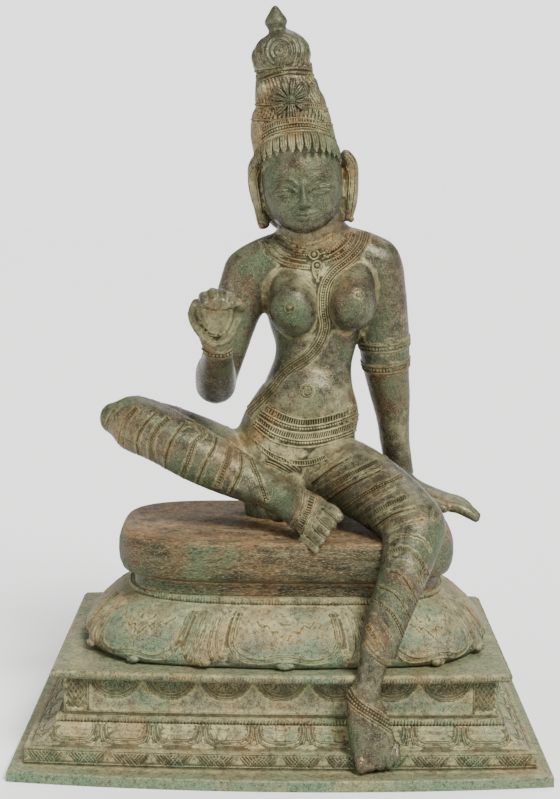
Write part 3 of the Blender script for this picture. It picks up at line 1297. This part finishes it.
bodyTree = treeOf(skins)
cameraEye = np.array(cameraPlace) / mm
cameraAxes = np.array(cameraTurn.to_3x3())
focal = cameraView["lens"] / cameraView["sensor"] * photoHeight


def seenAt(u, v, tree=None):
    # the point of the skin that the camera sees at a pixel of the photograph
    way = cameraAxes @ np.array(((u - photoWidth / 2) / focal, -(v - photoHeight / 2) / focal, -1.0))
    hit = (tree or bodyTree).ray_cast(Vector(cameraEye), Vector(way))[0]
    return np.array(hit) if hit else None


def seenLine(pixels, steps=6, tree=None):
    # the longest run of the line that stays on one surface
    runs = [[]]
    for spot in (seenAt(u, v, tree) for u, v in splineThrough(pixels, steps)):
        if spot is None or (runs[-1] and np.linalg.norm(spot - runs[-1][-1]) > 13):
            runs.append([])
        if spot is not None:
            runs[-1].append(spot)
    return max(runs, key=len)


def beltLine(centre, axis, reach, count=72, tree=None):
    # the skin where a plane across a limb cuts it, in one or more runs where the limb is free
    axis = unit(np.array(axis, float))
    one = unit(np.cross(axis, (0, 1, 0.01)))
    two = np.cross(axis, one)
    runs, run = [], []
    start = np.array(centre, float)
    for k in range(count + 1):
        a = 2 * math.pi * k / count
        way = one * math.cos(a) + two * math.sin(a)
        hit = (tree or bodyTree).ray_cast(Vector(start), Vector(way))[0]
        if hit and np.linalg.norm(np.array(hit) - start) < reach:
            run.append(np.array(hit))
        elif run:
            runs.append(run)
            run = []
    runs.append(run)
    return [r for r in runs if len(r) > 2]


# The headdress ornaments: direct shells, crisp where the voxel skin would soften them.
crestSizes = {"leaves": 33, "petals": 13}


def hoopPoint(centre, radii, tilt, turn, lift, grow):
    # a point on a tilted ellipse about the head; turn 0 is the front
    a = math.radians(turn - 90)
    lean = Matrix.Rotation(math.radians(tilt[1]), 3, "Y") @ Matrix.Rotation(
        -math.radians(tilt[0]), 3, "X"
    )
    at = lean @ Vector(((radii[0] + grow) * math.cos(a), (radii[1] + grow) * math.sin(a), lift))
    return np.array(centre) + np.array(at)


def buildCrest():
    forms = []
    # the fringe over the brow: leaves of four ribs, side by side, pointed and curled out at the tip
    centre, radii, tilt = onHead(-3, 4, 36), (41.5, 43.5), (21, headLean)
    pitch = 360 / crestSizes["leaves"]
    for k in range(crestSizes["leaves"]):
        turn = pitch * (k + 0.5)
        for rib in (-0.3, 0, 0.3):
            point = 1 - 2.4 * rib * rib
            path = [
                (11, -1.0, 1.0, 0.9), (6.5, 1.4, 1.35, 1.0), (1, 2.6, 1.6, 0.95), (-4, 2.8, 1.65, 0.85),
                (-8.5 * point, 2.2, 1.6, 0.65), (-11 * point, 2.8, 1.3, 0.45)
            ]
            forms.append(limb(
                [
                    (*hoopPoint(centre, radii, tilt, turn + rib * pitch * fan, lift, grow), r, r)
                    for lift, grow, r, fan in path
                ],
                7, 2
            ))
    forms.append(hoop([hoopPoint(centre, radii, tilt, a, 11.5, 0.4) for a in range(0, 360, 5)], 1.5))
    # the fan flower, its boss and its tassel lie on the crown's front, x and z mm from the flower's middle
    middle = crownPoint(1.5, 0, 662)
    lean = np.array(Matrix.Rotation(math.radians(-8), 3, "Y"))

    def onCrown(x, z, proud):
        at = middle + lean @ np.array((x, 0, z))
        centre, radius = np.interp(at[2], crownZ, crownX), np.interp(at[2], crownZ, crownRadius)
        deep = crownDepth["share"] * math.sqrt(max(radius**2 - (at[0] - centre) ** 2, 0))
        at[1] = crownDepth["middle"] - deep - proud
        return at

    for k in range(crestSizes["petals"]):
        a = 2 * math.pi * k / crestSizes["petals"] + 0.24
        ray, beside = (math.sin(a), math.cos(a)), (math.cos(a), -math.sin(a))
        if ray[1] < -0.86:
            continue
        stretch = 1.0 + 0.16 * ray[1]
        for offset in (-0.62, 0.62):
            path = []
            for r, proud, w in ((5, 1.0, 0.8), (10, 1.7, 1.5), (15.5, 1.7, 2.2), (19.5, 0.5, 1.4)):
                spot = [ray[i] * r * stretch + beside[i] * offset * w for i in (0, 1)]
                path.append((*onCrown(*spot, proud), w * 0.85, 1.7))
            forms.append(limb(path, 8, 2, across=lean @ np.array((beside[0], 0, beside[1]))))
    forms.append(ball(onCrown(0, 1, 1.5), (5.6, 4.6, 5.6), -8, sides=18, rings=12))
    forms.append(ball(onCrown(0, 1, 5.8), (2.0, 1.8, 2.0), -8, sides=12, rings=8))
    for x in (-3.6, -1.2, 1.2, 3.6):
        path = [(x * 0.7, -4, 2.6), (x, -10, 2.8), (x * 1.15, -17, 2.0), (x * 0.9, -21.5, 0.6)]
        forms.append(limb([(*onCrown(*p), 1.3, 1.7) for p in path], 8, 2))
    made = meshObject("crownCrest", gathered(forms))
    made.data.shade_smooth()
    return made


crest = buildCrest()
skins.append(crest)


# Body ornaments: lines given as pixels lie where the camera sees them on the skin.
ornamentLines = {
    "neckFolds": [
        [(280, 236), (292, 243), (308, 245), (322, 241), (333, 234)],
        [(277, 240), (290, 247), (308, 250), (325, 246), (338, 236)]
    ],
    "collarEdges": [
        [(268, 241), (277, 251), (290, 258), (306, 261)],
        [(322, 259), (336, 252), (348, 242), (352, 233)],
        [(260, 241), (266, 252), (277, 261), (292, 267), (310, 269)],
        [(326, 266), (343, 258), (356, 245), (361, 231)],
        [(264, 240), (271, 252), (282, 260), (296, 264), (310, 266)],
        [(325, 262), (340, 255), (352, 244), (357, 231)],
    ],
    "choker": [
        [(274, 239), (284, 249), (297, 254), (309, 255)], [(320, 254), (334, 249), (344, 240), (347, 233)]
    ],
    "thread": [
        (366, 232), (362, 245), (350, 259), (336, 270), (327, 281), (323, 295), (323, 312), (325, 326),
        (320, 342), (309, 356), (294, 366), (282, 376), (272, 389), (259, 402), (248, 413)
    ],
    "girdle": [
        ([(266, 405), (283, 414), (300, 419), (318, 418), (338, 413), (356, 406)], 1.1),
        ([(262, 411), (280, 421), (299, 426), (318, 425), (338, 420), (357, 412)], 1.2),
        ([(258, 416), (277, 428), (298, 433), (318, 432), (339, 427), (358, 419)], 1.3),
        ([(256, 421), (275, 434), (297, 440), (318, 439), (340, 434), (358, 426)], 1.1),
        ([(254, 426), (273, 441), (296, 447), (318, 446), (340, 440), (358, 432)], 1.2),
        ([(256, 441), (272, 453), (292, 460), (310, 460), (324, 455)], 0.9),
        ([(258, 447), (273, 459), (292, 465), (311, 465), (326, 459)], 0.9),
    ],
}


def shifted(pixels, across):
    # a pixel line moved sideways off itself, for cords that run side by side
    line = splineThrough(pixels, 3)
    along = unit(np.vstack([line[1:], line[-1:]]) - np.vstack([line[:1], line[:-1]]))
    return [(p[0] - t[1] * across, p[1] + t[0] * across) for p, t in zip(line, along)]


def drawCords(lines, radius, sides=6, tree=None):
    # cords along pixel lines
    layCords("figure", [seenLine(line, tree=tree) for line in lines], radius, sides)


def drawBeads(lines, pitch, radius, tree=None):
    layBeads("figure", [seenLine(line, tree=tree) for line in lines], pitch, radius)


def drawBars(one, two, pitch, radius, sides=4, tree=None):
    # short bars between two pixel lines
    layCords("figure", hatch(seenLine(one, tree=tree), seenLine(two, tree=tree), pitch), radius, sides)


def drawBosses(spots, radius, tree=None):
    # single beads at pixels: a pitch longer than the line leaves one
    lines = [[seenAt(u - 0.2, v, tree), seenAt(u + 0.2, v, tree)] for u, v in spots]
    layBeads(
        "figure", [line for line in lines if line[0] is not None and line[1] is not None], 40, radius
    )


def drawRings(spots, radius):
    layCords("figure", [ringAt(*spot) for spot in spots], radius)


def ringAt(u, v, radius):
    turns = np.linspace(0, 2 * math.pi, 24, endpoint=False)
    ring = [seenAt(u + radius * math.cos(a), v + radius * math.sin(a)) for a in turns]
    return [*ring, ring[0]] if all(p is not None for p in ring) else []


def hatch(one, two, pitch):
    # short bars between two lines that run side by side
    out = []
    one, two = np.array(one), np.array(two)
    length = np.linalg.norm(np.diff(one, axis=0), axis=1).sum()
    count = max(2, int(length / pitch))
    share = np.linspace(0.02, 0.98, count)
    for s in share:
        a, b = s * (len(one) - 1), s * (len(two) - 1)
        i, j = int(a), int(b)
        p = one[i] + (one[min(i + 1, len(one) - 1)] - one[i]) * (a - i)
        q = two[j] + (two[min(j + 1, len(two) - 1)] - two[j]) * (b - j)
        if np.linalg.norm(p - q) < 16:
            out.append([p, q])
    return out


def dressTorso():
    lines = ornamentLines
    drawCords(lines["neckFolds"], 0.8)
    drawCords(lines["collarEdges"], 0.95)
    drawBeads(lines["choker"], 2.6, 1.3)
    for low, high in ((2, 4), (3, 5)):
        drawBars(lines["collarEdges"][low], lines["collarEdges"][high], 2.6, 0.6)
    layCords(
        "figure", [seenLine(shifted(lines["thread"], across), 2) for across in (-4.6, -2.2, 2.4, 4.8)],
        1.05
    )
    layBeads("figure", [seenLine(shifted(lines["thread"], 0.1), 2)], 2.8, 1.35)
    girdle = lines["girdle"]
    for row, radius in girdle:
        drawCords([row], radius)
    drawBeads([shifted(girdle[k][0], 2.8) for k in (1, 3)], 2.9, 1.4)
    for low, high, pitch, radius in ((0, 1, 3.0, 0.6), (2, 3, 2.8, 0.6), (5, 6, 2.8, 0.5)):
        drawBars(girdle[low][0], girdle[high][0], pitch, radius)
    # the girdle's rows go on round the back
    for z, radius in ((343, 1.2), (337, 1.3), (331, 1.3), (325, 1.2)):
        for run in beltLine((20, 26, z), (0.03, 0.12, 1), 80, 90):
            back = [p for p in run if p[1] > 6]
            if len(back) > 4:
                layCords("figure", [back], radius)
    # nipples and navel with their rings
    for spot in ((289.6, 307.6), (358.3, 295.0)):
        drawRings([(*spot, 5.4)], 1.0)
        drawBosses([spot], 2.6)
    drawRings([(307, 391, 5.8), (307.6, 391.4, 2.6)], 1.1)
    # centre bosses and pendant of the necklaces
    for u, v, r in ((314, 254.5, 4.6), (317, 265.5, 4.4)):
        drawRings([(u, v, r)], 1.0)
        drawBosses([(u, v)], 2.3)
    for spot in arcLine((327, 254), (3.2, 3), 20, 320, 6):
        drawBosses([spot], 1.5)
    for line in (
        [(314, 270), (316, 276), (317, 282)], [(320, 270), (319, 276), (317.6, 282)],
        [(312.5, 268), (313.5, 274), (316, 279)]
    ):
        drawCords([line], 1.1)
    layBeads("figure", [[seenAt(317.2, 281), seenAt(317.6, 281.2)]], 40, 2.5)


def band(centre, axis, reach, gap, radius, bars, beads, keep=None):
    # two raised lines round a limb with bars or beads between them
    axis = unit(np.array(axis, float))
    pairs = []
    for shift in (-gap / 2, gap / 2):
        runs = beltLine(np.array(centre, float) + axis * shift, axis, reach)
        pairs.append([[p for p in run if keep is None or keep(p)] for run in runs])
    for runs in pairs:
        layCords("figure", [r for r in runs if len(r) > 2], radius)
    for one, two in zip(*pairs):
        if len(one) > 3 and len(two) > 3 and bars:
            layCords("figure", hatch(one, two, 2.8), radius * 0.7, 4)
    if beads:
        layBeads("figure", [r for r in beltLine(centre, axis, reach) if len(r) > 2], beads * 2.1, beads)


def dressArms():
    for centre, boss in (((107.8, 42, 411), (390, 344)), ((111, 47, 387.5), (393, 367.5))):
        band(centre, (-0.1, -0.25, 1), 40, 8.0, 1.5, True, 1.7)
        drawRings([(*boss, 4.4), (*boss, 2.6)], 1.2)
        drawBosses([boss], 2.2)
    bracelet = [(202, 348), (209, 354), (219, 356), (229, 354), (236, 348)]
    drawCords([shifted(bracelet, across) for across in (-2.4, 2.4)], 0.9)
    drawBeads([bracelet], 3.4, 1.7)
    for arc in ([(203, 334), (212, 341), (222, 341), (231, 333)], [(199, 326), (207, 334), (218, 336)]):
        drawCords([arc], 0.7)


def along(stations, t):
    # centre, direction and radius of a limb at share t of its stations
    path = splineThrough(stations, 12)
    at = t * (len(path) - 1)
    i = min(int(at), len(path) - 2)
    here = path[i] + (path[i + 1] - path[i]) * (at - i)
    return here[:3], path[i + 1][:3] - path[i][:3], max(here[3:5])


legLines = [    # (kind, pixels) of the patterned robe on the legs
    ("pair", [(122, 404), (112, 414), (105, 428)]), ("bars", [(137, 408), (124, 424), (120, 446)]),
    ("pair", [(157, 412), (142, 428), (137, 444), (141, 457)]),
    ("bars", [(169, 418), (155, 432), (151, 450), (154, 464)]),
    ("pair", [(184, 424), (172, 440), (166, 458), (167, 473)]),
    ("beads", [(186, 424), (198, 427), (203, 434), (195, 442), (190, 456), (181, 479)]),
    ("pair", [(217, 435), (214, 448), (205, 464), (197, 484)]),
    ("bars", [(230, 444), (227, 462), (216, 488)]), ("pair", [(241, 453), (241, 470), (230, 494)]),
    ("beads", [(250, 458), (257, 474), (262, 488), (266, 500)]),
    ("line", [(310, 474), (326, 463), (344, 451)]), ("pair", [(312, 484), (330, 470), (352, 457)]),
    ("bars", [(312, 497), (344, 478), (378, 461)]), ("pair", [(322, 506), (350, 486), (386, 468)]),
    ("beads", [(344, 508), (372, 490), (402, 476)]), ("line", [(352, 516), (372, 501), (396, 488)]),
    ("bars", [(362, 523), (382, 508), (406, 497)]), ("pair", [(374, 528), (392, 515), (416, 508)]),
    ("line", [(388, 532), (404, 524), (424, 520)]),
    ("bars", [(389, 552), (405, 549), (419, 560), (428, 578)]),
    ("line", [(390, 561), (406, 562), (418, 574), (424, 590)]),
    ("pair", [(386, 571), (400, 575), (411, 590), (418, 606)]),
    ("pair", [(378, 587), (394, 594), (406, 611), (413, 626)]),
    ("beads", [(374, 600), (390, 612), (399, 626), (404, 640)]),
    ("line", [(370, 612), (383, 624), (392, 638)]), ("bars", [(367, 626), (374, 637), (382, 650)]),
]


def hidden(p):
    # whether the body stands between a point of the skin and the camera's side
    away = Vector((0, -1, 0.13)).normalized()
    return bodyTree.ray_cast(Vector(p) + away * 1.5, away)[0] is not None


def dressLegs():
    halves = {"pair": 1.4, "bars": 2.5, "beads": 2.2, "line": 0.0}
    for kind, pixels in legLines:
        half = halves[kind]
        sides = [seenLine(shifted(pixels, across)) for across in ((-half, half) if half else (0,))]
        layCords("figure", [line for line in sides if len(line) > 2], 0.8)
        if kind == "bars" and min(len(line) for line in sides) > 3:
            layCords("figure", hatch(*sides, 2.9), 0.55, 4)
        if kind == "beads":
            drawBeads([pixels], 2.9, 1.3)
    # the same rows go on round the limbs where the camera can't see them
    for stations, shares in (
        (rightShin, (0.2, 0.3, 0.39, 0.49, 0.58)), (leftThigh, (0.4, 0.56, 0.72)),
        (leftShin, (0.24, 0.4, 0.56, 0.72)), (rightThigh, (0.42, 0.7))
    ):
        for k, share in enumerate(shares):
            centre, axis, radius = along(stations, share)
            band(centre, axis, radius * 1.55, 4.6 if k % 2 else 1.8, 0.75, bool(k % 2), 0.0, hidden)
    # the knee's scroll, the seam of the folded leg, the fan folds between the thighs, the hem and the anklets
    spiral = [
        (438 + (2 + 0.8 * k) * math.cos(0.62 * k), 516 + (2 + 0.9 * k) * math.sin(0.62 * k))
        for k in range(12)
    ]
    layCords("figure", [seenLine(spiral, 2)], 0.8)
    for line in (
        [(388, 541), (396, 536), (412, 535), (424, 540), (431, 552)],
        [(180, 410), (190, 418), (202, 427), (222, 440), (245, 455)]
    ):
        drawCords([line], 0.9)
    for k in range(5):
        drawCords([[(262 + 4 * k, 462 - 2 * k), (274 + 4 * k, 466 - k), (288 + 3 * k, 474 - k)]], 0.6, 5)
    drawCords([[(303.5, 489), (302, 503), (297, 517), (291, 527)]], 1.3)
    # furrows between the toes
    for line in (
        [(322, 508), (329, 513), (336, 518)], [(317, 517), (323, 523), (330, 529)],
        [(313, 526), (318, 532), (325, 538)], [(308, 535), (313, 540), (319, 546)]
    ):
        drawCords([line], 0.7)
    edges = [
        [(309, 494), (306, 508), (301, 518), (296, 528)], [(316, 497), (312, 510), (307, 521), (301, 533)]
    ]
    drawCords(edges, 0.9)
    drawBars(*edges, 2.6, 0.8, 5)
    band((95, -170, 131), (0.2, 0.15, 1), 30, 5.0, 1.2, False, 1.5, hidden)
    hem = [(366, 641), (375, 653), (388, 661), (401, 657), (408, 645)]
    drawCords([hem, shifted(hem, 3.4)], 1.0)
    strap = [(345, 682), (349, 694), (357, 704), (370, 713), (386, 723), (393, 728)]
    for across in (-4.6, 4.6):
        drawCords([shifted(strap, across)], 1.2)
    drawBeads([shifted(strap, across) for across in (-1.7, 1.7)], 3.0, 1.5)


headLines = {
    "cords": [
        ([(253, 79), (262, 76), (276, 71), (292, 68), (311, 69)], 1.5),
        ([(254, 83), (263, 80), (277, 75), (293, 72), (312, 73)], 1.1),
        ([(262, 127), (276, 121), (291, 118), (306, 118), (322, 122)], 0.9),
        ([(258, 112), (270, 108), (283, 105)], 0.9), ([(300, 104), (314, 104), (326, 107)], 0.9),
        ([(262, 141), (272, 134), (286, 130), (300, 128), (314, 129), (331, 135)], 1.0),
        ([(262, 134), (272, 128), (286, 124), (300, 122.5), (314, 124), (329, 129)], 1.0),
    ],
    "bars": [    # rows of short bars on the wrapped crown
        ([(255, 110), (268, 107), (283, 103)], [(257, 120), (270, 117.5), (285, 115)]),
        ([(301, 105), (314, 104), (327, 107)], [(303, 115), (316, 115), (330, 118)]),
        (
            [(262, 124.5), (276, 119), (291, 117), (306, 117), (324, 121)],
            [(263, 131), (276, 126), (291, 123), (306, 122.5), (327, 128)]
        ),
    ],
    "beads": [
        ([(262, 137.5), (272, 131), (286, 127), (300, 125.3), (314, 126.5), (330, 132)], 2.9, 1.45),
        ([(253, 77), (262, 74), (276, 69.5), (292, 66.5), (311, 67.5)], 2.4, 1.2),
    ],
    "ears": [
        [(258, 162), (251, 170), (248.5, 180), (251, 196), (256, 212), (258.5, 224)],
        [(262, 166), (257, 178), (259, 196), (262, 214)],
        [(346, 154), (352, 160), (355.5, 170), (355, 190), (353, 206), (351, 218)],
        [(346, 166), (349.5, 176), (348.5, 195), (347.5, 210)],
    ],
}


def dressHead():
    tree = treeOf([head, crest])
    for above, below in headLines["bars"]:
        drawBars(above, below, 2.9, 0.75, 5, tree)
    swirl = [
        (312 + (1 + 0.55 * k) * math.cos(0.6 * k), 83 + (1 + 0.8 * k) * math.sin(0.6 * k))
        for k in range(13)
    ]
    layCords("figure", [seenLine(swirl, 2, tree)], 0.8)
    for line, radius in headLines["cords"]:
        drawCords([line], radius, tree=tree)
    for line, pitch, radius in headLines["beads"]:
        drawBeads([line], pitch, radius, tree)
    for z, beads in ((691.5, 1.3), (657.5, 1.2), (641.5, 1.2)):
        ring = beltLine(crownPoint(0, 0, z), (0.05, 0.0, 1), 60, 80, tree)
        layBeads("figure", [r for r in ring if len(r) > 3], beads * 2.1, beads)
    drawCords(headLines["ears"], 0.9, tree=tree)
    drawBosses([(262, 226), (351, 219)], 3.6, tree)


dressTorso()
dressArms()
dressLegs()
dressHead()
print("ornaments laid")


def joinedPiece(name, parts):
    # several grown meshes as one piece
    bm = bmesh.new()
    for part in parts:
        bm.from_mesh(part.data)
        bpy.data.objects.remove(part)
    mesh = bpy.data.meshes.new(name)
    bm.to_mesh(mesh)
    bm.free()
    mesh.shade_smooth()
    return linked(name, mesh)


def besideLines(target, lines):
    # earth darkens the skin right beside a raised line and lies pale a little way off it
    points = pointsOf(target)
    away = np.array([lines.find(p)[2] for p in points.tolist()])
    dark = np.clip((wearSizes["darkReach"] - away) / 0.6, 0, 1)
    return 1.1 * dark + 0.35 * np.clip((wearSizes["dustReach"] - away) / 6, 0, 1)


def triangles(target):
    return sum(len(p.vertices) - 2 for p in target.data.polygons)


def thinned(target, most):
    # the same shape in at most this many triangles
    count = triangles(target)
    if count > most:
        fewer = target.modifiers.new("fewer", "DECIMATE")
        fewer.ratio = most / count
        settled(target)


def linesTree(target):
    # points along the edges of the lines, close enough together for an even shadow
    points = pointsOf(target)
    a, b = points[numbersOf(target.data.edges, "vertices", 2, np.int32)].transpose(1, 0, 2)
    long = np.linalg.norm(a - b, axis=1) > 1.4
    a, b = a[long], b[long]
    points = np.vstack([points[::2], *[a + (b - a) * share for share in (0.2, 0.4, 0.6, 0.8)]])
    lines = KDTree(len(points))
    for i, p in enumerate(points.tolist()):
        lines.insert(p, i)
    lines.balance()
    return lines


wearSizes = {"darkReach": 1.4, "dustReach": 8.0, "onLines": 0.1}    # mm, and the share of dust on the lines
carving = joinedPiece("plinthCarving", ornaments["plinth"])
dress = joinedPiece("bodyOrnaments", ornaments["figure"])
mostTriangles = {
    "steppedPlinth": 115000, "lotusTier": 75000, "cushionSeat": 30000, "plinthCarving": 130000,
    "bodyOrnaments": 115000,
    "goddessTorso": 85000, "goddessLegs": 90000, "goddessHead": 145000, "crownCrest": 40000,
    "rightHand": 35000, "leftHand": 35000, "rightFoot": 35000, "leftFoot": 35000,
}
pieces = [    # (piece, the node it stands for, finish)
    (steps, "lotus_plinth", "plinth"), (lotus, "lotus_plinth", "plinth"), (seat, "lotus_plinth", "seat"),
    (carving, "lotus_plinth", "plinth"), (dress, "parvati_figure", "trim"),
]
pieces += [(piece, "parvati_figure", "figure") for piece in skins]
drawn = {"lotus_plinth": linesTree(carving), "parvati_figure": linesTree(dress)}
for piece, node, finish in pieces:
    if piece in (carving, dress):    # lines hold an even film of dust
        storeValues(piece, "hollow", np.full(len(piece.data.vertices), wearSizes["onLines"]))
    else:
        storeValues(piece, "hollow", np.clip(hollows(piece) + besideLines(piece, drawn[node]), -1, 1))
    if node == "parvati_figure":
        storeValues(piece, "placedDust", placedDust(piece))
    thinned(piece, mostTriangles[piece.name])
    if node == "lotus_plinth" and piece is not carving:
        smoothShaded(piece, 42)
    piece.data.materials.clear()
    piece.data.materials.append(finishes[finish])
    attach(piece, "root")
    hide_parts(node)
    print(piece.name, triangles(piece), "triangles")

# A pale floor under a soft key from the upper right; the sky is bright at the horizon and dimmer above,
# so that the bronze keeps its darks.
studio = {"floorHalf": 12000, "horizon": 2.2, "overhead": 0.45, "key": 6.5, "fill": 1.2, "back": 1.5}
corner = studio["floorHalf"]
floor = meshObject(
    "paleFloor",
    (
        [(-corner, -corner, 0), (corner, -corner, 0), (corner, corner, 0), (-corner, corner, 0)],
        [(0, 1, 2, 3)]
    )
)
paper = bpy.data.materials.new("white paper")
paper.use_nodes = True
paper.node_tree.nodes["Principled BSDF"].inputs["Base Color"].default_value = hexColour("#F8F8F6")
paper.node_tree.nodes["Principled BSDF"].inputs["Roughness"].default_value = 0.9
floor.data.materials.append(paper)
world = bpy.data.worlds.new("studio")
bpy.context.scene.world = world
world.use_nodes = True
sky = world.node_tree
aim = addNode(
    sky, "ShaderNodeSeparateXYZ", None, {0: addNode(sky, "ShaderNodeTexCoord").outputs["Generated"]}
)
fade = {1: 0.085, 2: 0.22, 3: studio["horizon"], 4: studio["overhead"]}
strength = addNode(
    sky, "ShaderNodeMapRange", {"interpolation_type": "SMOOTHSTEP"}, {"Value": aim.outputs["Z"], **fade}
)
sky.nodes["Background"].inputs["Color"].default_value = (1, 1, 1, 1)
sky.links.new(strength.outputs[0], sky.nodes["Background"].inputs["Strength"])


def softLight(name, place, power, spread):
    light = linked(name, bpy.data.lights.new(name, "SUN"))
    light.data.energy, light.data.angle = power, math.radians(spread)
    turn = (-Vector(place)).to_track_quat("-Z", "Y")
    light.matrix_world = Matrix.Translation(place) @ turn.to_matrix().to_4x4()


softLight("keyLight", (0.75, -1.3, 1.35), studio["key"], 22)
softLight("fillLight", (-1.4, -1.2, 0.7), studio["fill"], 50)
softLight("backLight", (0.3, 1.5, 1.6), studio["back"], 40)
